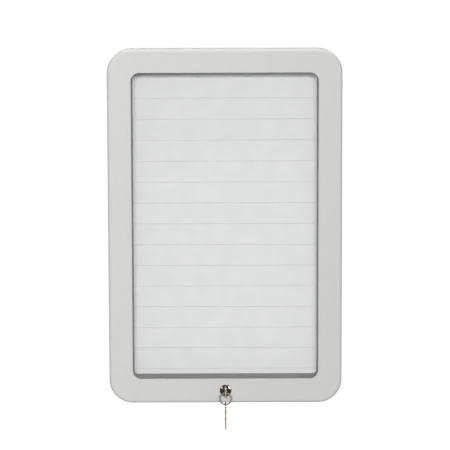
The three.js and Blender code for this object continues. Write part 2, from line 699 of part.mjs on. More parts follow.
function camScrew() {
  const seat = CAM_FRONT + CAM_THICKNESS + WASHER_THICKNESS;
  const top = seat + CAM_SCREW_HEAD_HEIGHT;
  const start = CAM_FRONT + CAM_THICKNESS - CAM_SCREW_LENGTH + SEAT_GAP;
  const solid = turned([
    [0, start],
    [CAM_SCREW_RADIUS, start],
    [CAM_SCREW_RADIUS, seat],
    [CAM_SCREW_HEAD_RADIUS, seat],
    [CAM_SCREW_HEAD_RADIUS, top],
    [0, top],
  ], SMALL_ROUND_SIDES);
  const slotHalf = SCREW_SLOT_WIDTH / 2;
  const reach = CAM_SCREW_HEAD_RADIUS + CUT_OVERRUN;
  const slot = block(-reach, reach, top - SCREW_SLOT_DEPTH, top + CUT_OVERRUN, -slotHalf, slotHalf);
  return piece('cam_screw', solid.subtract(slot), zincSteel());
}

// Keys, hanging down from the middle of the bow's hole, flat in the YZ plane

function bowCentre() {
  return BOW_HOLE_RADIUS + BOW_HOLE_EDGE - BOW_LENGTH / 2;
}

// How far the blade's shoulder lies below the middle of the bow's hole
function shoulderDrop() {
  const share = BLADE_WIDTH / BOW_WIDTH;
  return (BOW_LENGTH / 2) * Math.sqrt(1 - share * share) - bowCentre();
}

function keyOutline() {
  const half = BLADE_WIDTH / 2;
  const shoulder = -shoulderDrop();
  const tip = shoulder - BLADE_LENGTH;
  const angle = Math.acos(BLADE_WIDTH / BOW_WIDTH);
  const outline = new THREE.Shape();
  outline.moveTo(half - BLADE_TIP, tip);
  outline.lineTo(half, tip + BLADE_TIP);
  outline.lineTo(half, shoulder);
  outline.absellipse(0, bowCentre(), BOW_WIDTH / 2, BOW_LENGTH / 2, -angle, Math.PI + angle);
  const pitch = (BLADE_LENGTH - BLADE_CUT_START - BLADE_CUT_END) / BLADE_CUT_SHARES.length;
  BLADE_CUT_SHARES.forEach((share, i) => {
    const start = shoulder - BLADE_CUT_START - i * pitch;
    const depth = (share * pitch) / 2;
    outline.lineTo(-half, start);
    outline.lineTo(depth - half, start - depth);
    outline.lineTo(depth - half, start - pitch + depth);
    outline.lineTo(-half, start - pitch);
  });
  outline.lineTo(-half, tip + BLADE_TIP);
  outline.lineTo(BLADE_TIP - half, tip);
  const hole = new THREE.Path();
  hole.absarc(0, 0, BOW_HOLE_RADIUS, 0, Math.PI * 2, true);
  outline.holes.push(hole);
  return outline;
}

function key(name) {
  const settings = { depth: KEY_THICKNESS, bevelEnabled: false, curveSegments: 2 * ARC_STEPS };
  const geometry = new THREE.ExtrudeGeometry(keyOutline(), settings);
  geometry.rotateX(Math.PI / 2).rotateZ(Math.PI / 2).translate(-KEY_THICKNESS / 2, 0, 0);
  return piece(name, toSolid(geometry), keyNickel());
}

// The ring lies in the XZ plane, about its own centre
function splitRing() {
  const points = Array.from({ length: WIRE_SIDES + 1 }, (_, i) => {
    const angle = (i / WIRE_SIDES) * 2 * Math.PI;
    return [RING_RADIUS + RING_WIRE_RADIUS * Math.cos(angle), RING_WIRE_RADIUS * Math.sin(angle)];
  });
  return piece('split_ring', turned(points, RING_STEPS), zincSteel());
}

// Assembly

function group(parts, x = 0, y = 0, z = 0) {
  const held = new THREE.Group();
  held.position.set(x, y, z);
  held.add(...parts);
  return held;
}

function caseGroup() {
  return group([
    backPanel(),
    caseFrame(),
    ...panelRivets(),
    stripChannel('strip_channel_left', -1),
    stripChannel('strip_channel_right', 1),
    footerLedge(),
    ...nameStrips(),
    headerStrip(),
    keeperPlate(),
    ...keeperRivets(),
    doorSeal(),
    caseLeaf(),
    hingePin(),
    ...hingeRivets('case_hinge_rivet', CASE_FRONT - LEAF_THICKNESS, LEAF_THICKNESS + CASE_WALL, false),
  ]);
}

function doorGroup() {
  return group([
    doorFrame(),
    glazing(),
    glazingSeal(),
    windowSurround(),
    doorLeaf(),
    ...hingeRivets('door_hinge_rivet', DOOR_REAR + LEAF_THICKNESS, LEAF_THICKNESS + DOOR_WALL, true),
    lockGroup(),
  ]);
}

function lockGroup() {
  const plug = group([lockPlug(), cam(), camWasher(), camScrew(), keyGroup()]);
  return group([lockHousing(), lockNut(), plug], 0, DOOR_FRONT, LOCK_Z);
}

// The key in the lock points into the door, with the ring hanging in the hole of its bow
function keyGroup() {
  const lockKey = key('key');
  lockKey.rotation.x = Math.PI / 2;
  const hang = BOW_HOLE_RADIUS - RING_WIRE_RADIUS - RING_HANG_GAP;
  const ring = group([splitRing(), spareKey(hang)], 0, 0, -hang - RING_RADIUS);
  return group([lockKey, ring], 0, -PLUG_STAND - KEY_SHOULDER_GAP - shoulderDrop(), 0);
}

// The spare key hangs on the lowest point of the ring
function spareKey(hang) {
  const spare = key('spare_key');
  spare.position.z = -RING_RADIUS - hang;
  return spare;
}

const board = new THREE.Group();
board.add(caseGroup(), doorGroup());

export default board;
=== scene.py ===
"""Looks of a wall-hung lockable notice board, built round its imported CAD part.

X is to the right, Y goes into the wall and Z is up. Shapes are worked out in millimetres and
turned to metres when they become objects. Each piece rides on the body that carries it.
"""

import json
import math

import bmesh
import bpy
from bpy.props import FloatProperty, FloatVectorProperty, IntProperty, PointerProperty
from mathutils import Matrix, Vector

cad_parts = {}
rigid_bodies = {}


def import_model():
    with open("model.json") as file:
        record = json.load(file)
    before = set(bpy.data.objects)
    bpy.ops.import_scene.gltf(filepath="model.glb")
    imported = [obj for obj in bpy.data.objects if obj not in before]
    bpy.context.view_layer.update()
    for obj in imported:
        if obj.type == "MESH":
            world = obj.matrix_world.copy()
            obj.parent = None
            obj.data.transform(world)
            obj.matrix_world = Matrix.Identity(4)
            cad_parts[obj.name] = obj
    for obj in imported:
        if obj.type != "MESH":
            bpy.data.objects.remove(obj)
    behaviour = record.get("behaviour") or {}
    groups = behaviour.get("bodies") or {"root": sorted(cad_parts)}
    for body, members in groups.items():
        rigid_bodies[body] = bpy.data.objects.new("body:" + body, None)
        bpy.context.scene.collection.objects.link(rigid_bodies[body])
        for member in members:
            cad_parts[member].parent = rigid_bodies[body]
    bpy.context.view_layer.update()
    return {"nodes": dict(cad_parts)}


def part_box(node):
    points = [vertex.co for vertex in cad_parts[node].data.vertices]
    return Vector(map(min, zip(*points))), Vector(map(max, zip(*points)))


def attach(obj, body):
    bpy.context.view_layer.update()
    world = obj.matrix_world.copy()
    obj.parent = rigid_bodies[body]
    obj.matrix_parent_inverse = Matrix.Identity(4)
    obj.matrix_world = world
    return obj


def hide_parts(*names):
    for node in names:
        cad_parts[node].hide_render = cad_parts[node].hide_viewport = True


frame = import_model()

bl_info = {
    "name": "Lockable notice board",
    "version": (1, 0, 0),
    "blender": (4, 5, 0),
    "location": "3D View > Sidebar > Board",
    "description": "Builds the looks of a wall-hung lockable notice board",
    "category": "Add Mesh",
}

MM = 0.001
# How far a cutter reaches past the piece that it cuts, in millimetres
OVERRUN = 6
# Vertices closer than this many millimetres become one
MERGE_DISTANCE = 0.0005


def linear(code):
    """Turns an sRGB hex colour into linear red, green, blue and alpha."""
    parts = [int(code[i:i + 2], 16) / 255 for i in (1, 3, 5)]
    return [p / 12.92 if p <= 0.04045 else ((p + 0.055) / 1.055) ** 2.4 for p in parts] + [1.0]


def box_mm(node):
    """The lowest and highest corners of a CAD node at rest, in millimetres."""
    low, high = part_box(node)
    return low / MM, high / MM


# Sizes and colours that a user would change

def length(name, description, default_mm):
    """A length property whose default is given in millimetres."""
    return FloatProperty(
        name=name, description=description, default=default_mm * MM, min=0, unit="LENGTH"
    )


def colour(name, description, code):
    """A colour property whose default is given as sRGB hex."""
    return FloatVectorProperty(
        name=name, description=description, default=linear(code), size=4, subtype="COLOR"
    )


class BoardSizes(bpy.types.PropertyGroup):
    """Sizes of the visible forms"""

    corner_radius: length("Corner radius", "Radius of the board's outer corners", 28)
    face_width: length("Face width", "Width of the door frame's front face", 28)
    window_radius: length("Window radius", "Radius of the window's corners", 10)
    front_round: length("Front round", "Round of the door frame's front edge", 4)
    window_round: length("Window round", "Round of the window's front edge", 0.8)
    wall: length("Wall", "Thickness of the frames' walls", 2)
    flange: length("Flange", "Width of the flanges at the seam", 9.4)
    rail_extra: length("Rail extra", "How much deeper the bottom rail is than the other rails", 1.1)
    reveal_draft: length("Reveal draft", "How far the surround closes in towards its back", 0.8)
    joint: length("Joint", "Visible gap between two strips", 0.16)
    strip_edge: length("Strip edge", "Round of the strips' front edges", 0.2)
    keyway_gap: length("Keyway gap", "Gap between the key's blade and the keyway", 0.3)
    key_bevel: length("Key bevel", "Bevel of the keys' edges", 0.25)
    coil_gap: length("Coil gap", "Gap between the split ring's two turns", 0.04)
    corner_steps: IntProperty(
        name="Corner steps", description="Facets in each round corner", default=24, min=4
    )
    round_steps: IntProperty(
        name="Round steps", description="Facets round a turned piece", default=72, min=12
    )


class BoardColours(bpy.types.PropertyGroup):
    """Colours of the finishes"""

    frame: colour("Frame", "Anodised film, light areas", "#DBDBD9")
    # Painted shade: the frame's colour at its lower right corner, where the painted shading is darkest
    frame_painted_shade: colour("Frame, deep", "Anodised film, darker drifts", "#CFCFCE")
    strip: colour("Strips", "White strip plastic", "#E0E0E0")
    strip_deep: colour("Strips, deep", "Mottling of the strip plastic", "#DEDEDF")
    reveal: colour("Reveal", "Grey rubber round the window", "#6C6C68")
    glazing: colour("Glazing", "Clear acrylic", "#F1F4F4")
    foam: colour("Foam", "Seal foam", "#2B2B2B")
    sheet: colour("Sheet", "Mill aluminium", "#BBBCBA")
    zinc: colour("Zinc", "Zinc plating", "#B4B5B6")
    # Painted reflection: the chrome is coloured dark to stand in for a dark room mirrored in it
    chrome: colour("Chrome", "Dark polished chrome plating", "#433E3B")
    key: colour("Key", "Nickel plating of the keys", "#A0988A")
    key_worn: colour("Key, worn", "Brass that shows through the nickel", "#81745D")
    ring: colour("Ring", "Nickel-plated wire", "#828280")


# Materials

def add_node(tree, kind, values=None, links=None, **settings):
    """Adds a node, sets its settings and sockets and joins its inputs to other outputs."""
    node = tree.nodes.new(kind)
    for name, value in settings.items():
        setattr(node, name, value)
    for socket, value in (values or {}).items():
        node.inputs[socket].default_value = value
    for socket, source in (links or {}).items():
        tree.links.new(source, node.inputs[socket])
    return node


def per_mm(size):
    """The texture scale at which a pattern repeats about every size millimetres."""
    return 1 / (size * MM)


def toned(tint, *shares):
    """A colour with its channels multiplied by three shares, or all of them by one."""
    red, green, blue = shares if len(shares) == 3 else shares * 3
    return [tint[0] * red, tint[1] * green, tint[2] * blue, 1]


class Finish:
    """A material with one Principled shader and patterns in the object's own coordinates."""

    def __init__(self, name, values):
        self.material = bpy.data.materials.new(name)
        self.material.use_nodes = True
        self.tree = self.material.node_tree
        self.tree.nodes.clear()
        self.shader = add_node(self.tree, "ShaderNodeBsdfPrincipled", values)
        add_node(self.tree, "ShaderNodeOutputMaterial", links={"Surface": self.shader.outputs["BSDF"]})
        self.place = add_node(self.tree, "ShaderNodeTexCoord").outputs["Object"]

    def feed(self, socket, source):
        """Joins an output to one of the shader's inputs."""
        self.tree.links.new(source, self.shader.inputs[socket])

    def noise(self, size, stretch, **values):
        """Noise that repeats about every size millimetres, stretched along the axes given."""
        mapping = add_node(self.tree, "ShaderNodeMapping", {"Scale": stretch}, {"Vector": self.place})
        values = {"Scale": per_mm(size), "Detail": 2.0, **values}
        links = {"Vector": mapping.outputs["Vector"]}
        return add_node(self.tree, "ShaderNodeTexNoise", values, links).outputs["Fac"]

    def mix(self, size, low, high, detail=3.0, stretch=(1, 1, 1), edges=(0.35, 0.65)):
        """A soft mix of two colours by noise of a given size."""
        noise = self.noise(size, stretch, Detail=detail, Roughness=0.55)
        ramp = add_node(self.tree, "ShaderNodeValToRGB", links={"Fac": noise})
        for element, edge, tint in zip(ramp.color_ramp.elements, edges, (low, high)):
            element.position = edge
            element.color = tint
        return ramp.outputs["Color"]

    def tone(self, *pattern, **settings):
        """Colours the shader by a soft mix, described as for mix."""
        self.feed("Base Color", self.mix(*pattern, **settings))

    def drift(self, socket, size, low, high, stretch=(1, 1, 1)):
        """Lets one of the shader's values drift between two ends by noise of a given size."""
        span = add_node(
            self.tree,
            "ShaderNodeMapRange",
            {"From Min": 0.3, "From Max": 0.7, "To Min": low, "To Max": high},
            {"Value": self.noise(size, stretch)},
        )
        self.feed(socket, span.outputs["Result"])

    def press(self, height, depth, strength):
        """Presses a pattern of heights into the shader, depth millimetres deep."""
        values = {"Strength": strength, "Distance": depth * MM}
        bump = add_node(self.tree, "ShaderNodeBump", values, {"Height": height})
        self.feed("Normal", bump.outputs["Normal"])

    def grain(self, size, depth, strength, stretch=(1, 1, 1)):
        """Presses a fine grain of a given size and depth in millimetres into the shader."""
        self.press(self.noise(size, stretch), depth, strength)


def satin_anodised_aluminium(colours):
    """Etched and anodised frame sections: a soft silver with no mirror in it, darkened towards the lower
    right corner by painted shade.
    """
    finish = Finish("satin anodised aluminium", {"Metallic": 0.2, "Specular IOR Level": 0.4})
    tree = finish.tree
    film = finish.mix(90, toned(colours.frame, 0.98), colours.frame, 1.0, edges=(0.2, 0.6))
    # Painted shade: the colour darkens towards the lower right corner, standing in for light that falls
    # off across the frame
    painted_shade_x = -1.6
    painted_shade_z = 0.2
    painted_shade_span = 0.34
    split = add_node(tree, "ShaderNodeSeparateXYZ", links={"Vector": finish.place})
    links = {0: split.outputs["X"]}
    across = add_node(tree, "ShaderNodeMath", {1: painted_shade_x}, links, operation="MULTIPLY")
    links = {0: split.outputs["Z"], 2: across.outputs[0]}
    along = add_node(tree, "ShaderNodeMath", {1: painted_shade_z}, links, operation="MULTIPLY_ADD")
    # drift is the share of painted shade at each point, from the lower right corner to the upper left
    drift = add_node(
        tree,
        "ShaderNodeMapRange",
        {"From Min": -painted_shade_span, "From Max": painted_shade_span, "To Min": 0.0, "To Max": 1.0},
        {"Value": along.outputs[0]},
    )
    links = {0: drift.outputs["Result"], 7: film}
    mixed = add_node(tree, "ShaderNodeMix", {6: colours.frame_painted_shade}, links, data_type="RGBA")
    finish.feed("Base Color", mixed.outputs[2])
    finish.drift("Roughness", 7, 0.62, 0.7)
    # The etch is about 0.02 mm fine and is drawn at 0.5 mm so that it shows
    finish.grain(0.5, 0.006, 0.35)
    return finish.material


def mill_aluminium(colours):
    """Rolled sheet as it left the mill: dull grey with long grain along its height."""
    finish = Finish("mill-finish aluminium sheet", {"Metallic": 0.85})
    light = toned(colours.sheet, 1.12)
    finish.tone(1.2, colours.sheet, light, 2.0, (1, 1, 0.006), (0.25, 0.75))
    finish.drift("Roughness", 3, 0.4, 0.46, (1, 1, 0.02))
    # Rolling lines are about 0.1 mm wide and are drawn at 0.6 mm so that they show
    finish.grain(0.6, 0.01, 0.4, (1, 1, 0.004))
    return finish.material


def extruded_pvc(colours):
    """Extruded matt PVC: an even cool white with very faint mottling."""
    finish = Finish("matt extruded PVC", {"IOR": 1.53, "Specular IOR Level": 0.3})
    finish.tone(14, colours.strip_deep, colours.strip, 4.0)
    finish.drift("Roughness", 9, 0.52, 0.56)
    finish.grain(0.8, 0.004, 0.3, (0.2, 1, 1))
    return finish.material


def moulded_rubber(colours):
    """Moulded grey rubber: dead matt, with a fine pored skin."""
    finish = Finish("moulded grey rubber", {"IOR": 1.52, "Specular IOR Level": 0.25})
    finish.tone(5, toned(colours.reveal, 0.9), colours.reveal)
    finish.drift("Roughness", 4, 0.68, 0.82)
    finish.grain(0.35, 0.02, 0.5)
    return finish.material


def foam_strip(colours):
    """Cut closed-cell foam: near black, with open half cells on its faces whose hollows carry painted
    shade.
    """
    finish = Finish("closed-cell foam", {"Specular IOR Level": 0.2})
    links = {"Vector": finish.place}
    cells = add_node(finish.tree, "ShaderNodeTexVoronoi", {"Scale": per_mm(0.6)}, links)
    distance = cells.outputs["Distance"]
    # Painted shade: the colour is darkest in the middle of each cell, where the bump presses the hollow
    # in, and lighter at the rims
    ramp = add_node(finish.tree, "ShaderNodeValToRGB", links={"Fac": distance})
    ramp.color_ramp.elements[0].color = colours.foam
    ramp.color_ramp.elements[1].color = toned(colours.foam, 2.2)
    finish.feed("Base Color", ramp.outputs["Color"])
    finish.drift("Roughness", 2, 0.85, 0.95)
    finish.press(distance, 0.1, 0.6)
    return finish.material


def clear_acrylic(colours):
    """Cast acrylic sheet: all but invisible from the front, with a trace of dust."""
    values = {"Base Color": colours.glazing, "IOR": 1.49, "Roughness": 0.03}
    finish = Finish("cast clear acrylic", values)
    finish.drift("Alpha", 30, 0.05, 0.07)
    return finish.material


def zinc_plated_steel(colours):
    """Zinc on steel under its dulling film: grey, with faint cloudy spangles."""
    finish = Finish("zinc-plated steel", {"Metallic": 0.75})
    finish.tone(2.2, toned(colours.zinc, 0.86, 0.89, 0.95), colours.zinc, 4.0)
    finish.drift("Roughness", 1.5, 0.28, 0.44)
    finish.grain(0.4, 0.01, 0.3)
    return finish.material


def chrome_plate(colours):
    """Polished chrome on brass: mirrors its surroundings, with hairline scratches; its dark, brownish
    colour is a painted reflection of a dark room.
    """
    finish = Finish("polished chrome plate", {"Metallic": 1.0})
    # Brownish patches of painted reflection, mixed by noise
    finish.tone(2.5, toned(colours.chrome, 1, 0.85, 0.7), colours.chrome)
    finish.drift("Roughness", 1.2, 0.07, 0.16)
    finish.grain(1.8, 0.02, 0.35, (0.3, 1, 1.6))
    return finish.material


def nickel_plated_key(colours):
    """Stamped brass key under worn nickel: pale warm metal with yellow rubbed spots."""
    finish = Finish("worn nickel-plated brass", {"Metallic": 1.0})
    finish.tone(3.2, colours.key_worn, colours.key, 5.0, edges=(0.36, 0.52))
    finish.drift("Roughness", 1.0, 0.26, 0.42)
    # Wear lines run along the blade
    finish.grain(0.5, 0.015, 0.4, (1, 1, 0.15))
    return finish.material


def nickel_plated_wire(colours):
    """Flat spring wire under nickel: grey and half bright, with drawing lines."""
    finish = Finish("nickel-plated spring wire", {"Metallic": 1.0})
    finish.tone(1.6, toned(colours.ring, 0.72), colours.ring, 3.0)
    finish.drift("Roughness", 0.8, 0.24, 0.38)
    finish.grain(0.3, 0.01, 0.3)
    return finish.material


FINISHES = {
    "satin_silver": satin_anodised_aluminium,
    "white_plastic": extruded_pvc,
    "grey_sheet": mill_aluminium,
    "clear_glazing": clear_acrylic,
    "grey_rubber": moulded_rubber,
    "black_foam": foam_strip,
    "zinc_steel": zinc_plated_steel,
    "chrome": chrome_plate,
    "key_nickel": nickel_plated_key,
    "ring_steel": nickel_plated_wire,
}
made_finishes = {}


def finish_for(slot):
    """The finish of a material slot, made when it is first asked for."""
    if slot not in made_finishes:
        made_finishes[slot] = FINISHES[slot](bpy.context.scene.board_colours)
    return made_finishes[slot]


# Mesh work, in millimetres

def eased(corners, steps=5):
    """Rounds the corners of a closed outline given as (u, v, radius) and gives its points."""
    points = []
    for i, (u, v, radius) in enumerate(corners):
        here = Vector((u, v))
        if not radius:
            points.append((u, v))
            continue
        before = (Vector(corners[i - 1][:2]) - here).normalized()
        after = (Vector(corners[(i + 1) % len(corners)][:2]) - here).normalized()
        half = before.angle(after) / 2
        centre = here + (before + after).normalized() * radius / math.sin(half)
        start = here + before * radius / math.tan(half) - centre
        end = here + after * radius / math.tan(half) - centre
        first = math.atan2(start.y, start.x)
        sweep = (math.atan2(end.y, end.x) - first + math.pi) % (2 * math.pi) - math.pi
        for step in range(steps + 1):
            angle = first + sweep * step / steps
            points.append((centre.x + radius * math.cos(angle), centre.y + radius * math.sin(angle)))
    return points


def rounded_loop(bm, half_x, half_z, radius, y, steps):
    """Adds one loop of vertices round an upright rectangle with round corners."""
    loop = []
    for quarter, (side_x, side_z) in enumerate(((1, 1), (-1, 1), (-1, -1), (1, -1))):
        for step in range(steps + 1):
            angle = (quarter + step / steps) * math.pi / 2
            x = side_x * (half_x - radius) + radius * math.cos(angle)
            z = side_z * (half_z - radius) + radius * math.sin(angle)
            loop.append(bm.verts.new((x, y, z)))
    return loop


def skin(bm, loops, closed=True):
    """Joins each loop to the next with faces, and the last to the first if closed.

    A vertex that a face would meet twice, as on the axis of a turned piece, counts once.
    """
    pairs = list(zip(loops, loops[1:]))
    if closed:
        pairs.append((loops[-1], loops[0]))
    for a, b in pairs:
        for i in range(len(a)):
            j = (i + 1) % len(a)
            bm.faces.new(tuple(dict.fromkeys((a[i], a[j], b[j], b[i]))))


def capped(bm, loops):
    """Joins each loop to the next, fills both ends and gives the mesh back."""
    skin(bm, loops, closed=False)
    bm.faces.new(loops[0])
    bm.faces.new(loops[-1])
    return bm


def swept_frame(section, sizes, board, tighten=0):
    """Sweeps a section of (inset, y) points round the board's outline.

    Near the outside a corner's radius follows the board's, near the window it follows the window's.
    The corners of the window's own wall lose tighten millimetres of radius for each one of depth,
    and its bottom side stands higher by the bottom rail's extra depth.
    """
    bm = bmesh.new()
    half_x, half_z = board
    corner = sizes.corner_radius / MM
    face = sizes.face_width / MM
    window = sizes.window_radius / MM
    front = min(y for inset, y in section)
    loops = []
    for inset, y in section:
        radius = corner - inset if inset < face / 2 else window + face - inset
        at_window = inset > face - 1
        if at_window:
            radius -= tighten * (y - front)
        loop = rounded_loop(bm, half_x - inset, half_z - inset, radius, y, sizes.corner_steps)
        for vertex in loop:
            if at_window and vertex.co.z < 0:
                vertex.co.z += sizes.rail_extra / MM
        loops.append(loop)
    skin(bm, loops)
    return bm


def rounded_slab(half_x, half_z, radius, y0, y1, edge, steps):
    """A closed sheet with round corners whose edges are broken by a small bevel."""
    bm = bmesh.new()
    return capped(bm, [
        rounded_loop(bm, half_x - inset, half_z - inset, radius - inset, y, steps)
        for inset, y in ((edge, y0), (0, y0 + edge), (0, y1 - edge), (edge, y1))
    ])


def turned(points, sides, closed=True):
    """A body of revolution about the Y axis from (radius, y) points.

    An open outline starts and ends on the axis, a closed one goes round a bore.
    """
    bm = bmesh.new()
    rings = []
    for radius, y in points:
        if radius == 0:
            rings.append([bm.verts.new((0, y, 0))] * sides)
            continue
        angles = [2 * math.pi * i / sides for i in range(sides)]
        rings.append([bm.verts.new((radius * math.cos(a), y, radius * math.sin(a))) for a in angles])
    skin(bm, rings, closed)
    return bm


def pushed_section(points, x0, x1):
    """Pushes a closed outline of (y, z) points along X."""
    bm = bmesh.new()
    return capped(bm, [[bm.verts.new((x, y, z)) for y, z in points] for x in (x0, x1)])


def block(low, high):
    """A closed block from its lowest to its highest corner."""
    points = [(low[1], low[2]), (high[1], low[2]), (high[1], high[2]), (low[1], high[2])]
    return pushed_section(points, low[0], high[0])


def moved(bm, x, y, z):
    """Moves a mesh and gives it back."""
    bmesh.ops.translate(bm, verts=bm.verts, vec=(x, y, z))
    return bm


def laid_along_x(bm):
    """Turns a mesh so that its own Y axis lies along X, and gives it back."""
    bmesh.ops.rotate(bm, verts=bm.verts, matrix=Matrix.Rotation(-math.pi / 2, 3, "Z"))
    return bm


def linked(name, data):
    """A new object in the scene with a mesh, curve, lamp or camera."""
    thing = bpy.data.objects.new(name, data)
    bpy.context.scene.collection.objects.link(thing)
    return thing


def joined(meshes):
    """Puts several meshes into one."""
    whole = bmesh.new()
    for bm in meshes:
        holder = bpy.data.meshes.new("part")
        bm.to_mesh(holder)
        bm.free()
        whole.from_mesh(holder)
        bpy.data.meshes.remove(holder)
    return whole


def closed_up(bm):
    """Merges vertices that coincide and turns every face outwards."""
    bmesh.ops.remove_doubles(bm, verts=bm.verts, dist=MERGE_DISTANCE)
    bmesh.ops.recalc_face_normals(bm, faces=bm.faces)
    return bm


def carved(bm, *cutters, operation="DIFFERENCE"):
    """Cuts closed cutters out of a closed body, or adds them to it, and gives the result."""
    helpers = []
    for part in (bm, *cutters):
        mesh = bpy.data.meshes.new("blank")
        closed_up(part).to_mesh(mesh)
        part.free()
        helpers.append(linked("blank", mesh))
    body = helpers[0]
    for cutter in helpers[1:]:
        cut = body.modifiers.new("cut", "BOOLEAN")
        cut.operation = operation
        cut.solver = "EXACT"
        cut.object = cutter
    result = bmesh.new()
    result.from_object(body, bpy.context.evaluated_depsgraph_get())
    for helper in helpers:
        mesh = helper.data
        bpy.data.objects.remove(helper)
        bpy.data.meshes.remove(mesh)
    if not result.faces:
        raise RuntimeError("a cut left nothing of its piece")
    return result


def add_piece(name, bm, slot, body, nodes, sharp=32):
    """Makes a named piece in metres, with its finish, body and the CAD nodes that it stands for."""
    closed_up(bm)
    mesh = bpy.data.meshes.new(name)
    bm.to_mesh(mesh)
    bm.free()
    mesh.transform(Matrix.Scale(MM, 4))
    mesh.materials.append(finish_for(slot))
    mesh.shade_smooth()
    mesh.set_sharp_from_angle(angle=math.radians(sharp))
    piece = linked(name, mesh)
    even = piece.modifiers.new("even shading", "WEIGHTED_NORMAL")
    even.keep_sharp = True
    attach(piece, body)
    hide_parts(*nodes)
    return piece


def dress(slot, *names):
    """Gives CAD nodes whose shape is right a proper finish."""
    for name in names:
        materials = frame["nodes"][name].data.materials
        materials.clear()
        materials.append(finish_for(slot))


def nodes_named(prefix):
    """The CAD nodes whose names start alike, in order."""
    return sorted(name for name in frame["nodes"] if name.startswith(prefix))


def board_half():
    """Half the board's width and height in millimetres."""
    high = box_mm("door_frame")[1]
    return high.x, high.z


def hinge_groove():
    """The cutters for the groove along the top edge and the room for the knuckles below it."""
    half_groove = 3.9
    knuckle_room = 2.3
    low, high = box_mm("hinge_pin")
    axis_y = (low.y + high.y) / 2
    axis_z = (low.z + high.z) / 2
    half_x, half_z = board_half()
    groove = block(
        (-half_x - OVERRUN, axis_y - half_groove, axis_z),
        (half_x + OVERRUN, axis_y + half_groove, half_z + OVERRUN),
    )
    start = low.x - 1
    end = high.x + 1
    outline = [(0, start), (knuckle_room, start), (knuckle_room, end), (0, end)]
    rod = laid_along_x(turned(outline, 32, closed=False))
    return groove, moved(rod, 0, axis_y, axis_z)


def pin_cutters(places, radius, y0, y1, sides=40):
    """One cutter with a rod along Y at each (x, z) place."""
    outline = [(0, y0), (radius, y0), (radius, y1), (0, y1)]
    return joined([moved(turned(outline, sides, closed=False), x, 0, z) for x, z in places])


def middle(node):
    """The x and z of the middle of a CAD node, in millimetres."""
    low, high = box_mm(node)
    return (low.x + high.x) / 2, (low.z + high.z) / 2


# Pieces

class BOARD_OT_case(bpy.types.Operator):
    """Builds the case frame and the back panel"""

    bl_idname = "board.case"
    bl_label = "Case"

    def execute(self, context):
        sizes = context.scene.board_sizes
        half_x, half_z = board_half()
        front = box_mm("case_frame")[0].y
        wall = sizes.wall / MM
        inside = front + wall
        flange = sizes.flange / MM
        ledge = 8
        ledge_front = -3.5
        rivet_radius = 1.65
        section = eased([
            (0, 0, 0.3),
            (0, front, 0.5),
            (flange, front, 0.3),
            (flange, inside, 0.2),
            (wall, inside, 0.2),
            (wall, ledge_front, 0.2),
            (ledge, ledge_front, 0.2),
            (ledge, -wall, 0.2),
            (wall, -wall, 0),
            (wall, 0, 0.2),
        ])
        bm = swept_frame(section, sizes, (half_x, half_z))
        # The notch lets the cam pass the flange, and the flange holds the keeper plate's rivets
        side_room = 2
        notch_height = 6
        cam_low, cam_high = box_mm("cam")
        notch = block(
            (cam_low.x - side_room, front - OVERRUN, wall - half_z),
            (cam_high.x + side_room, inside + 3, cam_low.z + notch_height),
        )
        keeper_rivets = [middle(name) for name in nodes_named("keeper_rivet")]
        holes = pin_cutters(keeper_rivets, rivet_radius, front - OVERRUN, inside + 0.6)
        bm = carved(bm, *hinge_groove(), notch, holes)
        add_piece("case_frame_profile", bm, "satin_silver", "case", ["case_frame"])

        edge = 0.15
        screw_radius = 2.5
        screw_x = half_x - 38
        screw_z = half_z - 15.5
        low, high = box_mm("back_panel")
        radius = sizes.corner_radius / MM - (half_x - high.x)
        bm = rounded_slab(high.x, high.z, radius, low.y, high.y, edge, sizes.corner_steps)
        panel_rivets = [middle(name) for name in nodes_named("panel_rivet")]
        rivets = pin_cutters(panel_rivets, rivet_radius, low.y - OVERRUN, OVERRUN)
        corners = [(-screw_x, -screw_z), (screw_x, -screw_z), (-screw_x, screw_z), (screw_x, screw_z)]
        bm = carved(bm, rivets, pin_cutters(corners, screw_radius, low.y - OVERRUN, OVERRUN))
        add_piece("back_panel_sheet", bm, "grey_sheet", "case", ["back_panel"])
        return {"FINISHED"}


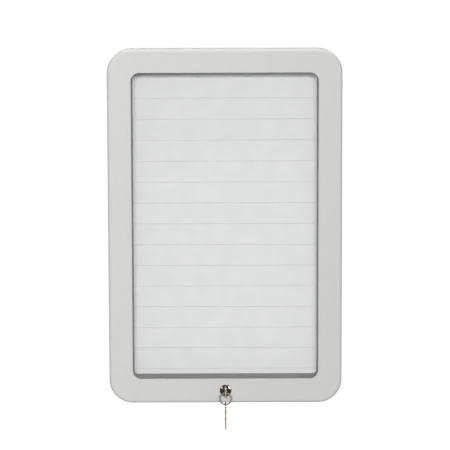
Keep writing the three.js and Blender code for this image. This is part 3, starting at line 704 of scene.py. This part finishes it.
class BOARD_OT_strips(bpy.types.Operator):
    """Builds the stack of white strips with its header and footer"""

    bl_idname = "board.strips"
    bl_label = "Strips"

    def execute(self, context):
        sizes = context.scene.board_sizes
        joint = sizes.joint / MM
        edge = sizes.strip_edge / MM
        strips = nodes_named("name_strip")
        bottoms = [box_mm(name)[0].z for name in strips]
        pitch = bottoms[0] - bottoms[1]
        rows = [(name, bottom, pitch) for name, bottom in zip(strips, bottoms)]
        header_bottom = bottoms[0] + pitch
        header_top = box_mm("header_strip")[1].z
        footer_bottom = box_mm("footer_ledge")[0].z
        rows.append(("header_strip", header_bottom, header_top + joint - header_bottom))
        rows.append(("footer_ledge", footer_bottom, bottoms[-1] - footer_bottom))
        low, high = box_mm(strips[0])
        for name, bottom, height in rows:
            has_tongue = name != "header_strip"
            has_groove = name != "footer_ledge"
            outline = self.section(low.y, high.y, height - joint, edge, has_tongue, has_groove)
            bm = moved(pushed_section(outline, low.x, high.x), 0, 0, bottom)
            if name == "footer_ledge":
                # A foot behind the footer reaches back to the panel
                rear = box_mm(name)[1].y
                half = high.x - 5
                top = bottom + height - 0.3
                foot = block((-half, (low.y + high.y) / 2, bottom), (half, rear, top))
                bm = carved(bm, foot, operation="UNION")
            add_piece(f"{name}_plastic", bm, "white_plastic", "case", [name])
        dress("grey_sheet", "strip_channel_left", "strip_channel_right")
        return {"FINISHED"}

    @staticmethod
    def section(front, rear, height, edge, has_tongue, has_groove):
        """A strip's outline in (y, z), with a tongue on top and a groove below."""
        half_tongue = 0.7
        tongue_top = height + 1.2
        half_groove = 1
        groove_top = 1.5
        rear_edge = 0.2
        centre = (front + rear) / 2
        corners = [(rear, 0, rear_edge), (rear, height, rear_edge)]
        if has_tongue:
            corners += [
                (centre + half_tongue, height, 0),
                (centre + half_tongue, tongue_top, rear_edge),
                (centre - half_tongue, tongue_top, rear_edge),
                (centre - half_tongue, height, 0),
            ]
        corners += [(front, height, edge), (front, 0, edge)]
        if has_groove:
            corners += [
                (centre - half_groove, 0, 0),
                (centre - half_groove, groove_top, 0),
                (centre + half_groove, groove_top, 0),
                (centre + half_groove, 0, 0),
            ]
        return eased(corners, 3)


class BOARD_OT_seals(bpy.types.Operator):
    """Builds the foam seal of the seam and the seal in front of the glazing"""

    bl_idname = "board.seals"
    bl_label = "Seals"

    def execute(self, context):
        sizes = context.scene.board_sizes
        board = board_half()
        low, high = box_mm("door_seal")
        outer = board[0] - high.x
        inner = outer + 3
        lip_round = 0.7
        corners = [
            (outer, high.y, 0.1),
            (outer, low.y, lip_round),
            (inner, low.y, lip_round),
            (inner, high.y, 0.1),
        ]
        # The hinge takes the seal's place along the top
        half = box_mm("hinge_pin")[1].x + 2
        room = block((-half, low.y - OVERRUN, 0), (half, OVERRUN, board[1] + OVERRUN))
        bm = carved(swept_frame(eased(corners), sizes, board), room)
        add_piece("door_seal_foam", bm, "black_foam", "case", ["door_seal"])

        low, high = box_mm("glazing_seal")
        outer = board[0] - high.x
        inner = sizes.face_width / MM - 0.6
        corners = [
            (outer, high.y, 0.1),
            (outer, low.y, 0.1),
            (inner, low.y, 0.2),
            (inner, high.y, 0.2),
        ]
        bm = swept_frame(eased(corners), sizes, board)
        add_piece("glazing_seal_strip", bm, "grey_rubber", "door", ["glazing_seal"])
        return {"FINISHED"}


class BOARD_OT_door_frame(bpy.types.Operator):
    """Builds the bent door profile with its rounded front edge, lock hole and hinge groove"""

    bl_idname = "board.door_frame"
    bl_label = "Door frame"

    def execute(self, context):
        sizes = context.scene.board_sizes
        low, high = box_mm("door_frame")
        wall = sizes.wall / MM
        flange = sizes.flange / MM
        face = sizes.face_width / MM
        lip = 3.3
        web = 1.5
        web_inner = face - lip
        web_outer = web_inner - web
        lock_hole = 5.3
        inside = low.y + wall
        behind = high.y - wall
        front_round = sizes.front_round / MM
        # The front edge shows most, so its round has more facets than the others
        arc = eased([(0, high.y, 0), (0, low.y, front_round), (face, low.y, 0)], 9)[1:-1]
        rest = eased([
            (0, low.y, 0),
            (face, low.y, sizes.window_round / MM),
            (face, inside, 0.25),
            (web_inner, inside, 0.2),
            (web_inner, behind, 0.2),
            (web_outer, behind, 0.2),
            (web_outer, inside, 0.2),
            (wall, inside, 0.5),
            (wall, behind, 0.2),
            (flange, behind, 0.2),
            (flange, high.y, 0.2),
            (0, high.y, 0.3),
        ])[1:]
        bm = swept_frame(arc + rest, sizes, (high.x, high.z))
        place = middle("lock_housing")
        hole = pin_cutters([place], lock_hole, low.y - OVERRUN, inside + OVERRUN, 64)
        bm = carved(bm, *hinge_groove(), hole)
        add_piece("door_frame_profile", bm, "satin_silver", "door", ["door_frame"])
        return {"FINISHED"}


class BOARD_OT_glazing(bpy.types.Operator):
    """Builds the clear sheet in the door and the grey surround behind it"""

    bl_idname = "board.glazing"
    bl_label = "Glazing and surround"

    def execute(self, context):
        sizes = context.scene.board_sizes
        edge = 0.25
        half_window = board_half()[0] - sizes.face_width / MM
        low, high = box_mm("glazing")
        radius = sizes.window_radius / MM + high.x - half_window
        bm = rounded_slab(high.x, high.z, radius, low.y, high.y, edge, sizes.corner_steps)
        add_piece("glazing_sheet", bm, "clear_glazing", "door", ["glazing"])

        low, high = box_mm("window_surround")
        face = sizes.face_width / MM
        outside = face - 3
        lip_edge = face - 6
        lip_rear = -13.6
        lip_front = -15.3
        corners = [
            (face, low.y, 0.2),
            (face + sizes.reveal_draft / MM, high.y, 0.4),
            (outside, high.y, 0.3),
            (outside, lip_rear, 0.1),
            (lip_edge, lip_rear, 0.2),
            (lip_edge, lip_front, 0.2),
            (outside, lip_front, 0.1),
            (outside, low.y, 0.2),
        ]
        # The rubber turns tighter corners at its back than round the window
        radius_lost = 5
        tighten = radius_lost / (high.y - low.y)
        bm = swept_frame(eased(corners), sizes, board_half(), tighten)
        add_piece("window_surround_rubber", bm, "grey_rubber", "door", ["window_surround"])
        return {"FINISHED"}


class BOARD_OT_hinge(bpy.types.Operator):
    """Dresses the hinge, the rivets and the keeper plate"""

    bl_idname = "board.hinge"
    bl_label = "Hinge and fixings"

    def execute(self, context):
        dress("zinc_steel", "hinge_leaf_case", "hinge_leaf_door", "hinge_pin", "keeper_plate")
        for prefix in ("case_hinge_rivet", "door_hinge_rivet", "panel_rivet", "keeper_rivet"):
            dress("zinc_steel", *nodes_named(prefix))
        return {"FINISHED"}


class BOARD_OT_lock(bpy.types.Operator):
    """Builds the lock's housing with its domed bezel and the plug with its keyway"""

    bl_idname = "board.lock"
    bl_label = "Lock"

    def execute(self, context):
        sizes = context.scene.board_sizes
        sides = sizes.round_steps
        low, high = box_mm("lock_housing")
        x, z = middle("lock_housing")
        front = box_mm("door_frame")[0].y
        bezel = high.x
        rim = 0.35
        head_bore = 4.75
        bore = 4.15
        seat = front + 0.6
        dome = []
        dome_steps = 12
        for step in range(dome_steps + 1):
            angle = math.pi / 2 * step / dome_steps
            reach = head_bore + rim + (bezel - head_bore - rim) * math.cos(angle)
            dome.append((reach, front - rim - (front - rim - low.y) * math.sin(angle)))
        crest = 5.0
        root = 4.72
        pitch = 0.75
        neck = 3
        chamfer = 0.3
        thread = []
        turns = int((high.y - 1 - front - neck) / pitch)
        for turn in range(turns):
            start = front + neck + turn * pitch
            thread.append((crest, start))
            thread.append((root, start + pitch / 2))
        thread.reverse()
        outline = [(bezel, front), *dome, (head_bore, low.y + 0.2), (head_bore, seat)]
        outline += [(bore, seat), (bore, high.y), (crest - chamfer, high.y)]
        outline += [(crest, high.y - chamfer)]
        outline += [(crest, high.y - 0.8), *thread, (crest, front + 2.6), (crest, front)]
        bm = moved(turned(outline, sides), x, 0, z)
        add_piece("lock_housing_body", bm, "chrome", "door", ["lock_housing"])

        low, high = box_mm("lock_plug")
        head = high.x
        edge = 0.3
        head_rear = low.y + 1.3
        body = 3.9
        body_rear = -7.9
        outline = [(0, low.y), (head - edge, low.y), (head - 0.1, low.y + 0.1), (head, low.y + edge)]
        outline += [(head, head_rear), (body, head_rear), (body, body_rear), (0, body_rear)]
        core = moved(turned(outline, sides, closed=False), x, 0, z)
        # The cam sits on a square tenon, whose front end stands inside the plug
        half_tenon = 2.3
        tenon_front = -9.9
        tenon = block(
            (x - half_tenon, tenon_front, z - half_tenon),
            (x + half_tenon, high.y, z + half_tenon),
        )
        core = carved(core, tenon, operation="UNION")
        gap = sizes.keyway_gap / MM
        half_slot = BOARD_OT_keys.BLADE_WIDTH / 2 + gap
        key_low, key_high = box_mm("key")
        slot = block(
            (key_low.x - gap, low.y - OVERRUN, z - half_slot),
            (key_high.x + gap, key_high.y + 1, z + half_slot),
        )
        screw_radius = 1.5
        screw = pin_cutters([(x, z)], screw_radius, high.y - OVERRUN, high.y + OVERRUN)
        bm = carved(core, slot, screw)
        add_piece("lock_plug_body", bm, "chrome", "plug", ["lock_plug"])
        dress("zinc_steel", "lock_nut", "cam", "cam_washer", "cam_screw")
        return {"FINISHED"}


class BOARD_OT_keys(bpy.types.Operator):
    """Builds the key in the lock and the spare key on the ring"""

    bl_idname = "board.keys"
    bl_label = "Keys"

    BOW_WIDTH = 14.46
    BOW_HEIGHT = 13
    HOLE_TO_TOP = 3.6
    HOLE_RADIUS = 2.2
    BLADE_LENGTH = 20
    BLADE_WIDTH = 6
    THICKNESS = 1.9

    def execute(self, context):
        bevel = context.scene.board_sizes.key_bevel / MM
        low, high = box_mm("spare_key")
        hole_z = high.z - self.HOLE_TO_TOP
        hole_y = (low.y + high.y) / 2
        spare = moved(self.key_shape(bevel), 0, hole_y, hole_z)
        add_piece("spare_key_blank", spare, "key_nickel", "spare", ["spare_key"], 40)
        low, high = box_mm("key")
        key = self.key_shape(bevel)
        bmesh.ops.rotate(key, verts=key.verts, matrix=Matrix.Rotation(math.pi / 2, 3, "X"))
        moved(key, 0, low.y + self.HOLE_TO_TOP, (low.z + high.z) / 2)
        add_piece("lock_key_blank", key, "key_nickel", "lock_key", ["key"], 40)
        return {"FINISHED"}

    def key_shape(self, bevel):
        """A key in the YZ plane that hangs from the middle of its bow's hole."""
        half_width = self.BOW_WIDTH / 2
        half_height = self.BOW_HEIGHT / 2
        centre = self.HOLE_TO_TOP - half_height
        half_blade = self.BLADE_WIDTH / 2
        angle = math.acos(half_blade / half_width)
        shoulder = centre - half_height * math.sin(angle)
        tip = shoulder - self.BLADE_LENGTH
        chamfer = 2
        outline = [(half_blade - chamfer, tip), (half_blade, tip + chamfer)]
        bow_steps = 64
        for step in range(bow_steps + 1):
            turn = -angle + (math.pi + 2 * angle) * step / bow_steps
            outline.append((half_width * math.cos(turn), centre + half_height * math.sin(turn)))
        # Depths of the cuts, as shares of the deepest that their pitch allows
        cuts = (0.48, 0.87, 0.35, 0.7)
        shoulder_land = 3.5
        tip_land = 4.5
        pitch = (self.BLADE_LENGTH - shoulder_land - tip_land) / len(cuts)
        for i, share in enumerate(cuts):
            start = shoulder - shoulder_land - i * pitch
            depth = share * pitch / 2
            outline.append((-half_blade, start))
            outline.append((depth - half_blade, start - depth))
            outline.append((depth - half_blade, start - pitch + depth))
        outline.append((-half_blade, shoulder - shoulder_land - len(cuts) * pitch))
        outline.append((-half_blade, tip + chamfer))
        outline.append((chamfer - half_blade, tip))
        turns = [math.pi * 2 * i / 40 for i in range(40)]
        radius = self.HOLE_RADIUS
        hole = [(radius * math.cos(turn), radius * math.sin(turn)) for turn in turns]
        bm = self.plate(outline, hole, bevel)
        # A bar beside each flat of the blade cuts one straight groove into it
        bar_middle = 1.2
        half_bar = 0.6
        groove_low = 0.2
        groove_high = 1.2
        grooves = []
        for side in (-1, 1):
            low = (side * bar_middle - half_bar, groove_low, tip - 1)
            high = (side * bar_middle + half_bar, groove_high, shoulder - 1.5)
            grooves.append(block(low, high))
        # A shallow oval dish in one side of the bow, below the hole
        dish_floor = 0.83
        dish_top = 1.2
        outline = [(0, dish_floor), (4.4, dish_floor), (4.6, dish_top), (0, dish_top)]
        dish = laid_along_x(turned(outline, 48, closed=False))
        bmesh.ops.scale(dish, verts=dish.verts, vec=(1, 1.25, 0.62))
        moved(dish, 0, 0, centre - 1.2)
        return carved(bm, *grooves, dish)

    def plate(self, outline, hole, bevel):
        """A flat plate with a hole and bevelled edges, from a filled curve."""
        curve = bpy.data.curves.new("blank", "CURVE")
        curve.dimensions = "2D"
        curve.fill_mode = "BOTH"
        for points in (outline, hole):
            spline = curve.splines.new("POLY")
            spline.points.add(len(points) - 1)
            for point, (u, v) in zip(spline.points, points):
                point.co = (u, v, 0, 1)
            spline.use_cyclic_u = True
        curve.offset = -bevel
        curve.bevel_depth = bevel
        curve.bevel_resolution = 1
        curve.extrude = self.THICKNESS / 2 - bevel
        holder = linked("blank", curve)
        depsgraph = bpy.context.evaluated_depsgraph_get()
        mesh = bpy.data.meshes.new_from_object(holder.evaluated_get(depsgraph))
        bm = bmesh.new()
        bm.from_mesh(mesh)
        bpy.data.meshes.remove(mesh)
        bpy.data.objects.remove(holder)
        bpy.data.curves.remove(curve)
        # The curve lies in XY, and the key stands in YZ
        upright = Matrix(((0, 0, 1), (1, 0, 0), (0, 1, 0)))
        bm.transform(upright.to_4x4())
        return closed_up(bm)


class BOARD_OT_ring(bpy.types.Operator):
    """Builds the split ring as two turns of flat wire"""

    bl_idname = "board.ring"
    bl_label = "Split ring"

    def execute(self, context):
        sizes = context.scene.board_sizes
        inner = -0.85
        outer = 0.7
        edge = 0.2
        low, high = box_mm("split_ring")
        centre = (low + high) / 2
        both_turns = high.y - low.y
        radius = high.x - outer
        half_thick = both_turns / 4 - sizes.coil_gap / MM / 2
        section = eased([
            (inner, -half_thick, edge),
            (outer, -half_thick, edge),
            (outer, half_thick, edge),
            (inner, half_thick, edge),
        ], 3)
        # The wire crosses from one turn to the other over a short arc, between its two ends
        start = math.radians(215)
        cross = math.radians(32)
        sweep = 4 * math.pi - cross
        steps = 230
        bm = bmesh.new()
        loops = []
        for step in range(steps + 1):
            travelled = sweep * step / steps
            angle = start + travelled
            past = (travelled - (2 * math.pi - cross)) / cross
            share = min(max(past, 0), 1)
            side = share * share * (3 - 2 * share) * 2 - 1
            middle_y = side * both_turns / 4
            loop = []
            for u, v in section:
                reach = radius + u
                loop.append(bm.verts.new((reach * math.cos(angle), middle_y + v, reach * math.sin(angle))))
            loops.append(loop)
        moved(capped(bm, loops), *centre)
        add_piece("split_ring_coil", bm, "ring_steel", "ring", ["split_ring"], 40)
        return {"FINISHED"}


# Stage

def studio_floor():
    """A large pale floor well below the board, which shows its shadow."""
    half = 40
    level = -0.75
    mesh = bpy.data.meshes.new("studio floor")
    corners = [(x * half, y * half, level) for x, y in ((-1, -1), (1, -1), (1, 1), (-1, 1))]
    mesh.from_pydata(corners, [], [(0, 1, 2, 3)])
    material = bpy.data.materials.new("white studio floor")
    material.use_nodes = True
    tree = material.node_tree
    tree.nodes.clear()
    path = add_node(tree, "ShaderNodeLightPath")
    seen = path.outputs["Is Camera Ray"]
    for ray in ("Is Glossy Ray", "Is Transmission Ray"):
        links = {0: seen, 1: path.outputs[ray]}
        seen = add_node(tree, "ShaderNodeMath", links=links, operation="MAXIMUM").outputs[0]
    # The lamps light the floor near the board, and its own glow takes over further out
    place = add_node(tree, "ShaderNodeTexCoord").outputs["Object"]
    reach = add_node(tree, "ShaderNodeVectorMath", links={0: place}, operation="LENGTH")
    fade = add_node(
        tree,
        "ShaderNodeMapRange",
        {"From Min": 0.5, "From Max": 1.5, "To Min": 0.72, "To Max": 1.0},
        {"Value": reach.outputs["Value"]},
    )
    links = {0: seen, 1: fade.outputs["Result"]}
    glow = add_node(tree, "ShaderNodeMath", links=links, operation="MULTIPLY")
    shade = add_node(tree, "ShaderNodeBsdfDiffuse", {"Color": linear("#828282")})
    light = add_node(tree, "ShaderNodeEmission", links={"Strength": glow.outputs[0]})
    links = {0: shade.outputs["BSDF"], 1: light.outputs["Emission"]}
    both = add_node(tree, "ShaderNodeAddShader", links=links)
    add_node(tree, "ShaderNodeOutputMaterial", links={"Surface": both.outputs["Shader"]})
    mesh.materials.append(material)
    linked("studio_floor", mesh)


def studio_world(scene):
    """White where it is seen, plain grey light, and a dim studio in front for metal to mirror."""
    world = bpy.data.worlds.new("studio")
    scene.world = world
    world.use_nodes = True
    tree = world.node_tree
    tree.nodes.clear()
    path = add_node(tree, "ShaderNodeLightPath")
    links = {0: path.outputs["Is Camera Ray"], 1: path.outputs["Is Transmission Ray"]}
    seen = add_node(tree, "ShaderNodeMath", links=links, operation="MAXIMUM")
    direction = add_node(tree, "ShaderNodeTexCoord").outputs["Generated"]
    split = add_node(tree, "ShaderNodeSeparateXYZ", links={"Vector": direction})
    mirrored = add_node(
        tree,
        "ShaderNodeMapRange",
        {"From Min": -0.35, "From Max": 0.1, "To Min": 0.4, "To Max": 0.5},
        {"Value": split.outputs["Y"]},
    )
    matt_light = 0.05
    links = {0: path.outputs["Is Glossy Ray"], 3: mirrored.outputs["Result"]}
    plain = add_node(tree, "ShaderNodeMix", {2: matt_light}, links, data_type="FLOAT")
    links = {0: seen.outputs[0], 2: plain.outputs[0]}
    strength = add_node(tree, "ShaderNodeMix", {3: 1.0}, links, data_type="FLOAT")
    links = {"Strength": strength.outputs[0]}
    light = add_node(tree, "ShaderNodeBackground", {"Color": (1, 1, 1, 1)}, links)
    add_node(tree, "ShaderNodeOutputWorld", links={"Surface": light.outputs["Background"]})


def pieces_of(*slots):
    """A collection of the pieces with these finishes."""
    pieces = bpy.data.collections.new("pieces of " + " and ".join(slots))
    finishes = [finish_for(slot) for slot in slots]
    for piece in bpy.context.scene.objects:
        if piece.type == "MESH" and piece.data.materials and piece.data.materials[0] in finishes:
            pieces.objects.link(piece)
    return pieces


def softbox(name, target, offset, watts, width, height, mirrored_by):
    """An area light that faces its target.

    It lights every piece and is mirrored by none, or is only mirrored by the pieces given.
    """
    lamp = bpy.data.lights.new(name, "AREA")
    lamp.shape = "RECTANGLE"
    lamp.size = width
    lamp.size_y = height
    lamp.energy = watts
    light = linked(name, lamp)
    light.location = target + offset
    light.rotation_euler = (-offset).to_track_quat("-Z", "Y").to_euler()
    light.visible_camera = False
    light.visible_glossy = mirrored_by is not None
    light.visible_diffuse = mirrored_by is None
    light.light_linking.receiver_collection = mirrored_by


def photo_camera(scene):
    """The photograph's view: nearly square on, a little from above, through a long lens."""
    lens = bpy.data.cameras.new("view")
    lens.sensor_fit = "HORIZONTAL"
    lens.sensor_width = 36
    lens.lens = 170.1
    elevation = math.radians(6.7)
    azimuth = math.radians(-0.1)
    roll = math.radians(-0.163)
    looked_at = Vector((-0.0001, -0.04, 0.0031))
    distance = 2.505
    back = Vector((
        math.sin(azimuth) * math.cos(elevation),
        -math.cos(azimuth) * math.cos(elevation),
        math.sin(elevation),
    ))
    right = Vector((math.cos(azimuth), math.sin(azimuth), 0))
    up = back.cross(right)
    tilted = right * math.cos(roll) + up * math.sin(roll)
    upright = up * math.cos(roll) - right * math.sin(roll)
    matrix = Matrix((tilted, upright, back)).transposed().to_4x4()
    matrix.translation = looked_at + back * distance
    camera = linked("view", lens)
    camera.matrix_world = matrix
    scene.camera = camera


class BOARD_OT_stage(bpy.types.Operator):
    """Sets the floor, the soft studio light and the camera"""

    bl_idname = "board.stage"
    bl_label = "Stage"

    def execute(self, context):
        studio_floor()
        studio_world(context.scene)
        board = Vector((0, -0.03, 0))
        lock = Vector((0, -0.04, -0.196))
        frames = pieces_of("satin_silver", "zinc_steel")
        lock_metal = pieces_of("chrome")
        key_metal = pieces_of("key_nickel", "ring_steel")
        # Name, target, place from the target, watts, width, height, and what alone mirrors it
        lamps = (
            ("key light", board, (0, -4.51, 0.97), 195, 1.9, 0.6, None),
            ("top light", board, (0, -0.1, 2.0), 26, 1.3, 1.3, None),
            ("left fill", board, (-2.2, 1.7, -0.1), 11, 1.2, 0.6, None),
            ("right fill", board, (2.2, 1.7, -0.1), 13, 1.2, 0.6, None),
            ("back panel", board, (0, 1.8, 0.45), 6, 1.6, 0.4, frames),
            ("right lock glint", lock, (1.1, -1.89, 0.47), 330, 0.7, 0.7, lock_metal),
            ("left lock glint", lock, (-1.1, -1.89, 0.47), 80, 0.5, 0.5, lock_metal),
            ("right key glint", lock, (1.1, -1.89, 0.47), 34, 0.7, 0.7, key_metal),
            ("left key glint", lock, (-1.1, -1.89, 0.2), 13, 0.5, 0.5, key_metal),
            ("top key glint", lock, (0, -0.9, 1.6), 12, 0.9, 0.9, key_metal),
        )
        for name, target, offset, watts, width, height, mirrored_by in lamps:
            softbox(name, target, Vector(offset), watts, width, height, mirrored_by)
        photo_camera(context.scene)
        context.scene.view_settings.view_transform = "Standard"
        return {"FINISHED"}


class BOARD_PT_sidebar(bpy.types.Panel):
    """Lists the board's sizes, colours and pieces"""

    bl_label = "Notice board"
    bl_space_type = "VIEW_3D"
    bl_region_type = "UI"
    bl_category = "Board"

    def draw(self, context):
        layout = self.layout
        for group in (context.scene.board_sizes, context.scene.board_colours):
            box = layout.box()
            for name in group.__annotations__:
                box.prop(group, name)
        for step in STEPS:
            layout.operator(step.bl_idname)


STEPS = (
    BOARD_OT_case,
    BOARD_OT_strips,
    BOARD_OT_seals,
    BOARD_OT_door_frame,
    BOARD_OT_glazing,
    BOARD_OT_hinge,
    BOARD_OT_lock,
    BOARD_OT_keys,
    BOARD_OT_ring,
    BOARD_OT_stage,
)
CLASSES = (BoardSizes, BoardColours, *STEPS, BOARD_PT_sidebar)


def register():
    """Registers the classes and hangs the sizes and colours on the scene."""
    for cls in CLASSES:
        bpy.utils.register_class(cls)
    bpy.types.Scene.board_sizes = PointerProperty(type=BoardSizes)
    bpy.types.Scene.board_colours = PointerProperty(type=BoardColours)


def unregister():
    """Takes back what register has done."""
    del bpy.types.Scene.board_colours
    del bpy.types.Scene.board_sizes
    for cls in reversed(CLASSES):
        bpy.utils.unregister_class(cls)


def main():
    """Builds every piece in order."""
    register()
    for step in STEPS:
        getattr(bpy.ops.board, step.bl_idname.split(".")[1])()


if __name__ == "__main__":
    main()
